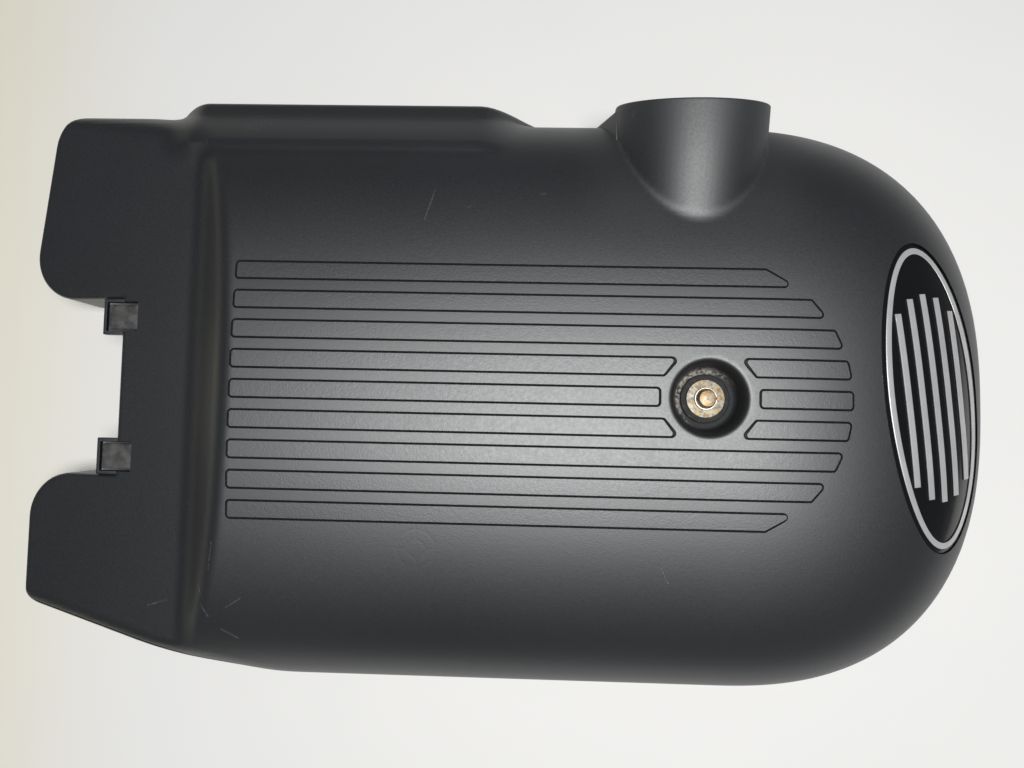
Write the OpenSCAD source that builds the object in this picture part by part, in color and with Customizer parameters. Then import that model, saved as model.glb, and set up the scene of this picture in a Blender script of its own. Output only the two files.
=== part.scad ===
// Engine cover: one moulded shell held by a single captive bolt, with a badge on its nose.
// Lengths are in millimetres. X runs to the nose, Y across, Z up, and the rim rests on Z = 0.
// While it is drawn, X = 0 and Y = 0 lie on the bolt's axis; the end of the file centres it.

/* [Body] */
// Half of the width over the side walls
half_w = 195; // [185:1:205]
// Distance from the bolt to where the nose starts to round
nose_x = 16; // [5:1:30]
// Length of the rounded nose
nose_len = 183; // [165:1:195]
// How square the nose is in plan, 2 being an ellipse
nose_pow = 2.5; // [2.2:0.1:3]
// Height of the crest above the rim
crest_h = 95; // [88:1:104]
// Height of the straight band above the rim
skirt_h = 12; // [8:1:18]
// How square the shoulder is in section, 2 being an ellipse
shoulder_pow = 2.4; // [2.2:0.1:2.8]
// Wall thickness
wall = 3; // [2.5:0.1:3.5]

/* [Rear shelf] */
// Distance from the bolt to the end of the two rear lobes
rear_len = 462; // [445:1:480]
// Distance from the bolt to the foot of the step
step_x = 334; // [325:1:342]
// Height of the shelf at the foot of the step
shelf_h = 60; // [54:1:64]
// Fall of the shelf towards the rear, in degrees
shelf_fall = 10; // [7:0.5:12]
// Slope of the step, in degrees
step_slope = 50; // [42:1:56]
// Rounding at the foot and the top of the step
step_round = 9; // [5:1:12]
// Distance from the bolt to the edge between the lobes
notch_x = 392; // [385:1:400]
// Width of the gap between the lobes
notch_w = 121; // [112:1:126]
// How far the middle of that gap lies from the centre line
notch_y = 1.5; // [0:0.5:4]
// How far the upper lobe's end slants
lobe_slant = 16; // [8:1:24]
// Inner corner radius of the lobes
lobe_inner_r = 31; // [20:1:36]
// Outer corner radius of the upper lobe
upper_corner_r = 30; // [20:1:40]
// Outer corner radius of the lower lobe
lower_corner_r = 13; // [8:1:20]
// Width lost where the lower lobe is cut at a slant
lower_cut = 45; // [30:1:55]
// Slope of that slanted side, in degrees
lower_slope = 14; // [11:0.5:18]
// Rounding over that slanted side
slant_r = 12; // [8:1:15]
// How much shorter the lower lobe is than the upper one
lower_back = 4; // [0:1:8]

/* [Side ledge] */
// How far the ledge stands out from the side wall
ledge_w = 8; // [4:1:12]
// How far the ledge reaches in from its edge before it dips under the shoulder
ledge_deep = 36; // [28:1:44]
// Height of the ledge's outer edge
ledge_h = 44; // [38:1:50]
// Fall of the ledge towards its edge, in degrees
ledge_fall = 25; // [18:1:32]
// Distance from the bolt to the ledge's front end
ledge_front = 84; // [76:2:96]
// Distance from the bolt to the ledge's rear end
ledge_rear = 396; // [370:2:410]
// Length over which the ledge's front end runs out
ledge_lead = 66; // [50:2:80]
// Length over which the ledge's rear end runs out
ledge_run = 34; // [20:2:40]
// How far the ledge sinks where it has run out
ledge_drop = 40; // [34:1:48]
// Rounding where the ledge meets the shoulder
ledge_round = 4; // [2:0.5:8]

/* [Duct hump] */
// Outer radius of the duct hump
duct_r = 51; // [45:1:55]
// Distance of its middle behind the bolt
duct_back = 5; // [0:1:10]
// Rise of the hump outwards, in degrees
duct_rise = 16; // [12:1:20]
// Height of the hump's crest at its mouth
duct_h = 104; // [100:1:110]
// Distance from the centre line to the crest of the mouth
duct_reach = 184; // [178:1:190]
// Length of the web that leans against the hump's rear side
gusset_w = 17; // [12:1:24]
// Height of that web where it meets the hump
gusset_h = 58; // [48:1:64]
// How far that web reaches in from the side
gusset_deep = 40; // [30:1:50]

/* [Outlined bars] */
// Number of bars
bar_count = 9; // [5:2:9]
// Distance from one bar to the next
bar_pitch = 18.8; // [17:0.1:20]
// Height of one bar between the middles of its grooves
bar_w = 11.2; // [9:0.1:13]
// Distance from the bolt to the bars' rear ends
bar_back = 297.5; // [280:0.5:300]
// Radius about the bolt at which the bars end
bar_end_r = 88; // [84:1:94]
// Radius about the bolt that the bars keep clear
bar_clear_r = 31; // [29:0.5:34]
// Corner radius at the bars' rear ends
bar_corner_r = 2.6; // [1.5:0.1:4]
// Width of the grooves
groove_w = 1.4; // [1:0.1:2]
// Depth of the grooves
groove_d = 1.2; // [0.8:0.1:1.6]

/* [Bolt well] */
// Radius of the well's rounded rim
well_rim_r = 25.8; // [24:0.2:28]
// Radius of the well's floor
well_floor_r = 18.6; // [17.8:0.2:20]
// Depth of the well below the crest
well_depth = 17; // [14:0.5:20]
// Radius of the rounding at the well's rim
well_lip = 4; // [2:0.5:5]
// Radius of the hole in the well's floor
well_hole_r = 12; // [11:0.2:13]

/* [Badge] */
// Half of the badge's length
badge_half_l = 100; // [85:1:104]
// Half of the badge's width
badge_half_w = 37; // [30:1:40]
// Distance from the nose's tip back to the badge's middle
badge_in = 54; // [50:1:60]
// How far the badge's middle lies from the centre line
badge_y = 4; // [-6:1:8]
// Lean of the badge, in degrees
badge_lean = 7; // [0:1:12]
// Depth of the badge's recess
badge_recess = 2.4; // [1.6:0.1:3]
// Thickness of the black plate
plate_t = 1.2; // [1:0.1:2]
// Thickness of the adhesive under the plate and under its trims
glue_t = 0.2; // [0.1:0.05:0.4]
// Gap between the plate and the recess's wall
plate_gap = 0.4; // [0.2:0.1:1]
// Distance from the plate's edge to the bright ring
ring_in = 3; // [2:0.5:6]
// Width of the bright ring
ring_w = 4; // [2:0.5:6]
// Thickness of the bright trims
trim_t = 0.8; // [0.5:0.1:1.2]
// Number of bright slats
slat_count = 5; // [3:2:7]
// Distance from one slat to the next
slat_pitch = 10; // [8:0.5:11]
// Width of a slat
slat_w = 4.4; // [3:0.2:6]
// Half of the middle slat's length
slat_half_l = 66; // [50:1:72]

/* [Hook pads] */
// Width of each hook pocket
pocket_w = 25; // [20:1:28]
// Length of each hook pocket
pocket_l = 28; // [22:1:32]
// How far each pocket stands out behind the edge between the lobes
pocket_out = 14; // [8:1:18]
// Depth of each pocket below the shelf
pocket_d = 5; // [3.5:0.5:7]
// Thickness of the rubber pad in it
pad_t = 3.6; // [2:0.1:5]
// Gap round the pad
pad_gap = 1.2; // [0.6:0.1:2]
// Wall of the pocket
pocket_wall = 2.2; // [1.6:0.1:3]
// Height of the edge left over the hoses between the two pockets
edge_band = 9; // [6:1:14]

/* [Fixings] */
// Radius of the bolt's shank
bolt_r = 3; // [2.5:0.5:4]
// Length of the bolt under its head
bolt_l = 68; // [60:1:72]
// Length of the threaded end
thread_l = 40; // [20:1:45]
// Depth of the thread's mean radius under the shank
thread_relief = 0.3; // [0.2:0.05:0.4]
// Hexagon across its flats
hex_af = 10; // [8:1:13]
// Height of the hexagon
hex_h = 5.5; // [4:0.5:7]
// Radius of the bolt's flange
flange_r = 7.2; // [6:0.2:9]
// Thickness of the bolt's flange
flange_t = 1.5; // [1:0.1:2.5]
// Radius of the washer
washer_r = 12; // [10:0.5:14]
// Thickness of the washer
washer_t = 1.6; // [1:0.1:2.5]
// Radius of the grommet
grommet_r = 15.5; // [14:0.5:17]
// Thickness of the grommet's flanges
grommet_t = 2.4; // [1.5:0.1:3]
// Wall of the steel sleeve
sleeve_wall = 1.6; // [1:0.1:2.5]
// Clearance of the bolt in the washer and the sleeve
bolt_gap = 0.3; // [0.1:0.05:0.8]
// Clearance between the grommet and what it holds
grommet_gap = 0.2; // [0.1:0.05:0.4]
// Outer radius of the retaining ring on the shank
retainer_r = 7; // [6:0.5:9]
// Thickness of the retaining ring
retainer_t = 1; // [0.6:0.1:1.5]
// Play of the retaining ring under the sleeve
retainer_play = 0.3; // [0.2:0.1:1]
// Clearance of the retaining ring on the shank
retainer_gap = 0.1; // [0.05:0.05:0.2]

/* [Underside] */
// Radius of the three support posts
post_r = 13; // [11:0.5:16]
// Radius of the hole up each post
post_bore_r = 4.5; // [3:0.5:6]
// Length of the posts below the crest
post_l = 42; // [30:1:55]
// Thickness of the ribs
rib_t = 2; // [1.5:0.1:3]
// Depth of the ribs that steady the well
rib_h = 16; // [10:1:24]
// Length of those ribs from the bolt
rib_reach = 76; // [50:1:90]
// Distance from the bolt to the two outer posts
post_back = 179; // [160:1:200]
// Distance of the two outer posts from the centre line
post_side = 97; // [85:1:105]
// Distance from the bolt to the middle post
mid_post_back = 110; // [95:1:125]
// Distance of the middle post from the centre line
mid_post_side = 16; // [10:1:22]

/* [Hidden] */
$fn = 64;
eps = 0.01;

// Room left round a cutter or beyond the part, so that no two faces lie in one plane
over = 20;
side_room = 1;

// Turn of one facet in degrees, for the corners in plan and for the rounding at the well's rim
corner_turn = 12;
lip_turn = 22.5;

// Turn of the bolt's head in degrees, which sets a corner of its hexagon across the cover
hex_turn = 30;

// Heights of the stack on the bolt, from the well's floor up and down
floor_z = crest_h - well_depth;
washer_z = floor_z + grommet_t;
flange_z = washer_z + washer_t;
sleeve_r = bolt_r + bolt_gap + sleeve_wall;
sleeve_foot_z = floor_z - wall - grommet_t;
retainer_z = sleeve_foot_z - retainer_play - retainer_t;

// Places that follow from the driving sizes
step_top_x = -step_x + (crest_h - shelf_h) / tan(step_slope);
notch_lo = notch_y - notch_w / 2;
notch_hi = notch_y + notch_w / 2;
rim_out = half_w + ledge_w;
duct_foot_y = duct_reach + duct_r * sin(duct_rise);
duct_axis_z = duct_h - duct_r * cos(duct_rise);

// Sizes of the whole part, for centring it
nose_tip = nose_x + nose_len;
badge_x = nose_tip - badge_in;
upper_y = max(rim_out, duct_foot_y);
centre_x = (nose_tip - rear_len) / 2;
centre_y = (upper_y - half_w) / 2;

function above_zero(v) = max(v, 0);
function fade(v) = let (t = min(max(v, 0), 1)) t * t * (3 - 2 * t);

// Smooth choice of the larger or the smaller of two heights, rounded over the length r
function blend_max(a, b, r) = let (h = above_zero(r - abs(a - b)) / r) max(a, b) + h * h * r / 4;
function blend_min(a, b, r) = -blend_max(-a, -b, r);

// The dome: 0 on the spine and 1 on the rim, then the shoulder's curve
function spread(x, y) =
    pow(pow(above_zero(x - nose_x) / nose_len, nose_pow) + pow(abs(y) / half_w, nose_pow), 1 / nose_pow);
function dome_z(x, y) =
    skirt_h + (crest_h - skirt_h)
    * pow(above_zero(1 - pow(spread(x, y), shoulder_pow)), 1 / shoulder_pow);

// The rear shelf with the step up to the dome
function shelf_z(x) = shelf_h + (x + step_x) * tan(shelf_fall);
function step_z(x) = shelf_h + (x + step_x) * tan(step_slope);
function rear_z(x) = blend_max(shelf_z(x), step_z(x), step_round);

// The ledge along one side, running out at both ends
function ledge_share(x) =
    fade((-ledge_front - x) / ledge_lead) * fade((x + ledge_rear) / ledge_run);
function rim_y(x) = half_w + ledge_w * ledge_share(x);
function ledge_z(x, y) =
    let (in = rim_y(x) - y)
    ledge_h + min(in, ledge_deep) * tan(ledge_fall) - above_zero(in - ledge_deep)
    - (1 - ledge_share(x)) * ledge_drop;

// The outer face of the shell, without the duct hump, the bars and the well
function skin_z(x, y) =
    let (plain = blend_min(dome_z(x, y), rear_z(x), step_round))
    y > 0 ? blend_max(plain, ledge_z(x, y), ledge_round) : plain;

// Grid of the shell in plan: along the length it runs from the rear to the nose
rear_stop = -rear_len - over;
anchors = [
    [rear_stop, 4], [-ledge_rear + ledge_run, 2], [-step_x - over / 2, 7], [step_top_x + over, 2],
    [-ledge_front - ledge_lead, 4], [-ledge_front, 2], [nose_x, 0]
];
stations = [
    for (k = [0:len(anchors) - 2]) for (i = [0:anchors[k][1] - 1])
        anchors[k][0] + (anchors[k + 1][0] - anchors[k][0]) * i / anchors[k][1]
];
nose_steps = 10;
outer_steps = 12;
inner_steps = 6;
body_steps = len(stations);
along_steps = body_steps + nose_steps;

// A point of that grid, where steps counts the rows to one side and inset shrinks the outline
function across(j, steps) = let (k = j - steps) sign(k) * sin(90 * abs(k) / steps);
function side_y(x, b, inset) = b * ((b > 0 ? rim_y(x) : half_w) - inset);
function grid_xy(i, j, steps, inset) =
    let (b = across(j, steps), a = sin(90 * above_zero(i - body_steps) / nose_steps))
    i < body_steps
    ? [stations[i], side_y(stations[i], b, inset)]
    : [nose_x + (nose_len - inset) * a * pow(1 - pow(abs(b), nose_pow) / 2, 1 / nose_pow),
       b * (half_w - inset) * pow(1 - pow(a, nose_pow) / 2, 1 / nose_pow)];

// A solid under the skin, shrunk by inset and lowered by drop
module under_skin(inset = 0, drop = 0, steps = outer_steps) {
    rows = 2 * steps;
    count = (along_steps + 1) * (rows + 1);
    top = [
        for (i = [0:along_steps]) for (j = [0:rows])
            let (p = grid_xy(i, j, steps, inset), q = grid_xy(i, j, steps, 0))
            [p.x, p.y, skin_z(q.x, q.y) - drop]
    ];
    rim = concat(
        [for (i = [0:along_steps]) i * (rows + 1)],
        [for (j = [1:rows]) along_steps * (rows + 1) + j],
        [for (i = [along_steps - 1:-1:0]) i * (rows + 1) + rows],
        [for (j = [rows - 1:-1:1]) j]
    );
    n = len(rim);
    foot = [for (k = rim) [top[k].x, top[k].y, 0]];
    faces = concat(
        [for (i = [0:along_steps - 1]) for (j = [0:rows - 1])
            let (k = i * (rows + 1) + j) [k, k + 1, k + rows + 2]],
        [for (i = [0:along_steps - 1]) for (j = [0:rows - 1])
            let (k = i * (rows + 1) + j) [k, k + rows + 2, k + rows + 1]],
        [for (k = [0:n - 1]) [rim[k], rim[(k + 1) % n], count + (k + 1) % n]],
        [for (k = [0:n - 1]) [rim[k], count + (k + 1) % n, count + k]],
        [[for (k = [0:n - 1]) count + k]]
    );
    polyhedron(concat(top, foot), faces, convexity = 8);
}

// How far the upper lobe's end leans back at a distance y from the centre line
function slant_x(y) = lobe_slant * (notch_hi + lobe_inner_r - y) / (half_w - notch_hi);

// One rounded corner of an outline, with the tangent length and the arc worked out
function corner(a, p, b, r) =
    let (u = (a - p) / norm(a - p), v = (b - p) / norm(b - p), half = acos(u * v) / 2,
         mid = p + (u + v) / norm(u + v) * r / sin(half), from = p + u * r / tan(half) - mid,
         to = p + v * r / tan(half) - mid, turn = sign(cross(from, to)) * (180 - 2 * half),
         steps = ceil(abs(turn) / corner_turn))
    [for (i = [0:steps]) let (t = turn * i / steps)
        mid + [from.x * cos(t) - from.y * sin(t), from.x * sin(t) + from.y * cos(t)]];
function rounded(path) =
    let (n = len(path))
    [for (i = [0:n - 1]) let (p = [path[i].x, path[i].y], r = path[i][2])
        each (r == 0 ? [p] : corner([path[(i + n - 1) % n].x, path[(i + n - 1) % n].y], p,
                                    [path[(i + 1) % n].x, path[(i + 1) % n].y], r))];

// Outline in plan that trims the rear, open towards the nose
lower_end_x = -rear_len + lower_back;
lower_end_y = -half_w + lower_cut;
lower_run = lower_cut / tan(lower_slope);
far = half_w + 2 * over;
module rear_outline() {
    polygon(rounded([
        [nose_tip + over, -far, 0], [lower_end_x + lower_run, -far, 0],
        [lower_end_x + lower_run, -half_w, 0], [lower_end_x, lower_end_y, lower_corner_r],
        [lower_end_x, notch_lo, lobe_inner_r],
        [-notch_x, notch_lo, 0], [-notch_x, notch_hi, 0],
        [-rear_len - slant_x(notch_hi), notch_hi, lobe_inner_r],
        [-rear_len - slant_x(half_w), half_w + side_room, upper_corner_r],
        [-ledge_rear, half_w + side_room, 0],
        [-ledge_rear, far, 0], [nose_tip + over, far, 0]
    ]));
}

module rear_trim(inset = 0) {
    linear_extrude(2 * crest_h, center = true) offset(delta = -inset) rear_outline();
}

// What is cut off to round the shelf over the slanted side
module slant_cut() {
    translate([lower_end_x, lower_end_y, shelf_z(lower_end_x)]) rotate([0, -shelf_fall, -lower_slope])
        translate([-over, 0, 0]) rotate([90, 0, 90]) linear_extrude(lower_run + over) difference() {
            translate([-over, -slant_r]) square([over + slant_r, over + slant_r]);
            translate([slant_r, -slant_r]) circle(slant_r, $fn = 32);
        }
}

// The duct hump: an arch with straight legs, rising outwards, cut back under its mouth
module duct_arch(r, past = 0) {
    translate([-duct_back, duct_foot_y, duct_axis_z]) rotate([90 + duct_rise, 0, 0])
        translate([0, 0, -past]) linear_extrude(half_w) {
            circle(r);
            translate([-r, -2 * crest_h]) square([2 * r, 2 * crest_h]);
        }
}

module duct_side(foot, past = 0) {
    translate([-duct_back, 0, foot]) rotate([90, 0, 90]) linear_extrude(2 * duct_r + over, center = true)
        polygon([[duct_r, 0], [half_w + past, 0], [half_w + past, duct_axis_z - over],
                 [duct_foot_y + eps + past, duct_axis_z], [duct_foot_y + eps + past, 2 * crest_h],
                 [duct_r, 2 * crest_h]]);
}

module duct_hump() {
    intersection() {
        duct_arch(duct_r);
        duct_side(0);
    }
}

module duct_way() {
    intersection() {
        duct_arch(duct_r - wall, over);
        duct_side(-eps, over);
    }
}

// A web that leans from the hump's rear side down to the body's side, and the hollow under it
gusset_front = -duct_back - duct_r;
gusset_foot = gusset_front - gusset_w;
gusset_lean = (gusset_h - skirt_h) / gusset_w;
module gusset() {
    translate([0, half_w, 0]) rotate([90, 0, 0]) linear_extrude(gusset_deep)
        polygon([[gusset_foot, 0], [gusset_front + wall, 0], [gusset_front + wall, gusset_h],
                 [gusset_front, gusset_h], [gusset_foot, skirt_h]]);
}

module gusset_hollow() {
    back = gusset_foot + wall + side_room;
    translate([0, half_w - wall, 0]) rotate([90, 0, 0]) linear_extrude(gusset_deep)
        polygon([[back, -eps], [gusset_front, -eps],
                 [gusset_front, skirt_h + gusset_lean * (gusset_front - back)], [back, skirt_h]]);
}

// Two pockets in the edge between the lobes, for the padded hooks
pocket_x = -notch_x - pocket_out;
pocket_mid_upper = notch_hi - pocket_w / 2;
pocket_mid_lower = notch_lo + pocket_w / 2;
pocket_z = shelf_z(pocket_x + pocket_l / 2) - pocket_d;
module pocket_block(mid_y, grow, low, high) {
    translate([pocket_x + pocket_l / 2, mid_y, low]) linear_extrude(high - low)
        square([pocket_l + 2 * grow, pocket_w + 2 * grow], center = true);
}

// Outline of one bar in plan, with round corners at its rear end
module bar_outline(k, grow) {
    y = k * bar_pitch;
    r = bar_corner_r + grow;
    difference() {
        intersection() {
            hull() {
                for (s = [-1, 1])
                    translate([-bar_back + bar_corner_r, y + s * (bar_w / 2 - bar_corner_r)])
                        circle(r, $fn = 16);
                translate([0, y - bar_w / 2 - grow]) square([bar_end_r + over, bar_w + 2 * grow]);
            }
            union() {
                circle(bar_end_r + grow, $fn = 96);
                translate([-bar_back - over, -half_w]) square([bar_back + over, 2 * half_w]);
            }
        }
        circle(bar_clear_r - grow, $fn = 48);
    }
}

bar_side = (bar_count - 1) / 2;
module bar_grooves() {
    difference() {
        translate([0, 0, floor_z]) linear_extrude(well_depth + over) for (k = [-bar_side:bar_side])
            difference() {
                bar_outline(k, groove_w / 2);
                bar_outline(k, -groove_w / 2);
            }
        under_skin(drop = groove_d);
    }
}

// Profile of the bolt well, drawn in the plane of the bolt's axis
module well_cut() {
    rotate_extrude($fn = 48) polygon(concat(
        [[0, floor_z], [well_floor_r, floor_z]],
        [for (a = [0:lip_turn:90])
            [well_rim_r - well_lip * cos(a), crest_h - well_lip + well_lip * sin(a)]],
        [[well_rim_r, crest_h + over], [0, crest_h + over]]
    ));
}
module well_body() {
    rotate_extrude($fn = 48) polygon([
        [0, floor_z - wall], [well_floor_r + wall, floor_z - wall],
        [well_rim_r - well_lip + wall, crest_h - well_lip], [well_rim_r + wall / 2, crest_h], [0, crest_h]
    ]);
}

// A slab that follows the skin over any patch in plan, for the badge and its recess
module on_skin(plan, nu, nv, low, high, ring = false) {
    nu_pts = ring ? nu : nu + 1;
    layer = nu_pts * (nv + 1);
    pts = [
        for (lift = [low, high]) for (j = [0:nv]) for (i = [0:nu_pts - 1])
            let (p = plan(i / nu, j / nv)) [p.x, p.y, skin_z(p.x, p.y) + lift]
    ];
    function at(i, j, top) = top * layer + j * nu_pts + (ring ? i % nu : i);
    top_bottom = [
        for (j = [0:nv - 1]) for (i = [0:nu - 1])
            each [[at(i, j, 1), at(i + 1, j + 1, 1), at(i + 1, j, 1)],
                  [at(i, j, 1), at(i, j + 1, 1), at(i + 1, j + 1, 1)],
                  [at(i, j, 0), at(i + 1, j, 0), at(i + 1, j + 1, 0)],
                  [at(i, j, 0), at(i + 1, j + 1, 0), at(i, j + 1, 0)]]
    ];
    long_sides = [
        for (i = [0:nu - 1])
            each [[at(i, 0, 0), at(i, 0, 1), at(i + 1, 0, 1)],
                  [at(i, 0, 0), at(i + 1, 0, 1), at(i + 1, 0, 0)],
                  [at(i, nv, 0), at(i + 1, nv, 1), at(i, nv, 1)],
                  [at(i, nv, 0), at(i + 1, nv, 0), at(i + 1, nv, 1)]]
    ];
    ends = ring ? [] : [
        for (j = [0:nv - 1])
            each [[at(0, j, 0), at(0, j + 1, 1), at(0, j, 1)],
                  [at(0, j, 0), at(0, j + 1, 0), at(0, j + 1, 1)],
                  [at(nu, j, 0), at(nu, j, 1), at(nu, j + 1, 1)],
                  [at(nu, j, 0), at(nu, j + 1, 1), at(nu, j + 1, 0)]]
    ];
    polyhedron(pts, concat(top_bottom, long_sides, ends), convexity = 6);
}

// A place on the badge, from its own middle: u across its width, v along its length
function badge_xy(u, v) =
    [badge_x + u * cos(badge_lean) - v * sin(badge_lean),
     badge_y + u * sin(badge_lean) + v * cos(badge_lean)];
function oval_xy(a, b, half_u, half_v) =
    badge_xy(half_u * a * sqrt(1 - b * b / 2), half_v * b * sqrt(1 - a * a / 2));
function ring_xy(t, in) =
    badge_xy((badge_half_w - in) * cos(360 * t), (badge_half_l - in) * sin(360 * t));

module badge_oval(in, low, high, steps = 8) {
    on_skin(function (s, t) oval_xy(2 * s - 1, 2 * t - 1, badge_half_w - in, badge_half_l - in),
            steps, 2 * steps, low, high);
}

plate_foot = glue_t - badge_recess;
plate_top = plate_foot + plate_t;
trim_foot = plate_top + glue_t;
trim_edge = plate_gap + ring_in;

// Posts, ribs and pockets that hang under the crown
module post(x, y) {
    translate([x, y, crest_h - post_l]) difference() {
        cylinder(post_l, r = post_r, $fn = 24);
        difference() {
            translate([0, 0, -eps]) cylinder(post_l, r = post_r - rib_t, $fn = 24);
            cylinder(post_l, r = post_bore_r + rib_t, $fn = 16);
            for (a = [0, 90]) rotate(a)
                translate([-post_r, -rib_t / 2, 0]) cube([2 * post_r, rib_t, post_l]);
        }
        translate([0, 0, -eps]) cylinder(post_l - wall, r = post_bore_r, $fn = 16);
    }
}

module underside() {
    intersection() {
        under_skin(inset = wall / 2, drop = wall / 2, steps = inner_steps);
        union() {
            post(-post_back, post_side);
            post(-post_back, -post_side);
            post(-mid_post_back, -mid_post_side);
            for (y = [well_floor_r, -rib_reach]) translate([-rib_t / 2, y, crest_h - rib_h - wall])
                cube([rib_t, rib_reach - well_floor_r, rib_h + wall]);
        }
    }
}

module cover() {
    color([0.17, 0.175, 0.185]) difference() {
        union() {
            difference() {
                union() {
                    difference() {
                        intersection() {
                            under_skin();
                            rear_trim();
                        }
                        slant_cut();
                    }
                    duct_hump();
                    gusset();
                }
                intersection() {
                    translate([0, 0, -eps]) under_skin(inset = wall, drop = wall, steps = inner_steps);
                    rear_trim(wall);
                }
                duct_way();
                gusset_hollow();
            }
            underside();
            well_body();
            for (y = [pocket_mid_upper, pocket_mid_lower])
                pocket_block(y, 0, pocket_z - pocket_wall, pocket_z + pocket_d - wall / 2);
            badge_oval(-wall, -badge_recess - wall, -badge_recess);
        }
        bar_grooves();
        well_cut();
        translate([0, 0, floor_z - wall - over]) cylinder(wall + 2 * over, r = well_hole_r);
        badge_oval(0, -badge_recess, over);
        for (y = [pocket_mid_upper, pocket_mid_lower])
            pocket_block(y, -pocket_wall, pocket_z, pocket_z + over);
        translate([-notch_x - over, notch_lo + pocket_w + wall, -eps])
            cube([2 * over, notch_w - 2 * pocket_w - 2 * wall, shelf_z(-notch_x) - edge_band]);
    }
}

module badge_plate() {
    color([0.03, 0.03, 0.032]) badge_oval(plate_gap, plate_foot, plate_top, 12);
}

module badge_ring() {
    color([0.75, 0.76, 0.78])
        on_skin(function (s, t) ring_xy(s, trim_edge + ring_w * t),
                72, 1, trim_foot, trim_foot + trim_t, true);
}

// Straight slats along the plate, shorter towards its edges
slat_side = (slat_count - 1) / 2;
slat_taper = 1.1;
module badge_slats() {
    color([0.75, 0.76, 0.78]) for (k = [-slat_side:slat_side]) {
        half = slat_half_l * sqrt(1 - pow(k * slat_pitch / badge_half_w, 2) * slat_taper);
        on_skin(function (s, t) badge_xy(k * slat_pitch + slat_w * (s - 0.5), half * (2 * t - 1)),
                1, 16, trim_foot, trim_foot + trim_t);
    }
}

module grommet() {
    neck_r = well_hole_r - grommet_gap;
    color([0.05, 0.05, 0.05]) rotate_extrude() polygon([
        [sleeve_r + grommet_gap, sleeve_foot_z], [neck_r + grommet_t, sleeve_foot_z],
        [neck_r + grommet_t, floor_z - wall - eps], [neck_r, floor_z - wall - eps], [neck_r, floor_z + eps],
        [grommet_r, floor_z + eps], [grommet_r, washer_z], [sleeve_r + grommet_gap, washer_z]
    ]);
}

module sleeve() {
    color([0.6, 0.6, 0.58]) translate([0, 0, sleeve_foot_z]) difference() {
        cylinder(washer_z - sleeve_foot_z, r = sleeve_r);
        translate([0, 0, -eps]) cylinder(washer_z - sleeve_foot_z + 2 * eps, r = bolt_r + bolt_gap);
    }
}

module washer() {
    color([0.62, 0.55, 0.38]) translate([0, 0, washer_z]) difference() {
        cylinder(washer_t, r = washer_r);
        translate([0, 0, -eps]) cylinder(washer_t + 2 * eps, r = bolt_r + bolt_gap);
    }
}

module bolt() {
    color([0.68, 0.58, 0.36]) translate([0, 0, flange_z]) {
        translate([0, 0, -bolt_l]) cylinder(bolt_l, r = bolt_r - thread_relief);
        translate([0, 0, thread_l - bolt_l]) cylinder(bolt_l - thread_l, r = bolt_r);
        cylinder(flange_t, r = flange_r);
        translate([0, 0, flange_t]) rotate(hex_turn) cylinder(hex_h, r = hex_af / sqrt(3), $fn = 6);
    }
}

module retainer() {
    color([0.55, 0.55, 0.55]) translate([0, 0, retainer_z]) difference() {
        cylinder(retainer_t, r = retainer_r);
        translate([0, 0, -eps]) cylinder(retainer_t + 2 * eps, r = bolt_r + retainer_gap);
    }
}

module pad(mid_y) {
    color([0.26, 0.26, 0.25]) pocket_block(mid_y, -pocket_wall - pad_gap, pocket_z, pocket_z + pad_t);
}

module centred() {
    translate([-centre_x, -centre_y, 0]) children();
}

centred() cover();
centred() badge_plate();
centred() badge_ring();
centred() badge_slats();
centred() grommet();
centred() sleeve();
centred() washer();
centred() bolt();
centred() retainer();
centred() pad(pocket_mid_upper);  // pad_upper
centred() pad(pocket_mid_lower);  // pad_lower
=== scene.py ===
from math import ceil, cos, hypot, pi, radians, sin, sqrt, tan

import bmesh
import bpy
import numpy as np
from mathutils import Matrix, Vector, noise


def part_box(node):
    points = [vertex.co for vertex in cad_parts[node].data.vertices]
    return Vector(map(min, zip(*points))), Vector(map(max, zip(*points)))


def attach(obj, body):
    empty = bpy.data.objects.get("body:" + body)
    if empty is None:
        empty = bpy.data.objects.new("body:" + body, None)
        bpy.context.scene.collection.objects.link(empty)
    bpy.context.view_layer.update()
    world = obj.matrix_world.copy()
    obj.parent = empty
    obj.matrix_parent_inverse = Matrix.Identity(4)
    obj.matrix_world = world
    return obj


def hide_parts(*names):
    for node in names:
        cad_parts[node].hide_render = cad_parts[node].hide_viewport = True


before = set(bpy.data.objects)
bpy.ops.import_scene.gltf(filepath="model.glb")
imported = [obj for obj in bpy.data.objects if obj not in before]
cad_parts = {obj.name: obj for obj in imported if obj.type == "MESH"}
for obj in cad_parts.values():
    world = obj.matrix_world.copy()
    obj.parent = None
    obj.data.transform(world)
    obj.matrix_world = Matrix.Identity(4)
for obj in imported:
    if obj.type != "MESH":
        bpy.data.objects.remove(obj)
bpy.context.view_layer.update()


# Cover: the shell of the whole part, moulded in one piece from charcoal plastic with a fine grain.
# It is a long dome with a round nose, a step down to a shelf with two lobes, an arched duct hump
# with a gusset at its side, a narrow ledge, nine outlined bars and the well for the one bolt.
bolt_low, bolt_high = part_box("bolt")
bolt_x, bolt_y = (bolt_low.x + bolt_high.x) / 2, (bolt_low.y + bolt_high.y) / 2
half_w, nose_x, nose_len, nose_pow = 0.195, 0.016, 0.183, 2.5
crest_h, skirt_h, shoulder_pow, wall = 0.095, 0.012, 2.4, 0.003
rear_len, step_x, shelf_h, step_round = 0.462, 0.334, 0.060, 0.009
shelf_fall, step_slope = tan(radians(10)), tan(radians(50))
notch_x, notch_low, notch_high = 0.392, -0.059, 0.062
lobe_slant, lobe_inner_r, upper_corner_r, lower_corner_r = 0.016, 0.031, 0.030, 0.013
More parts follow.
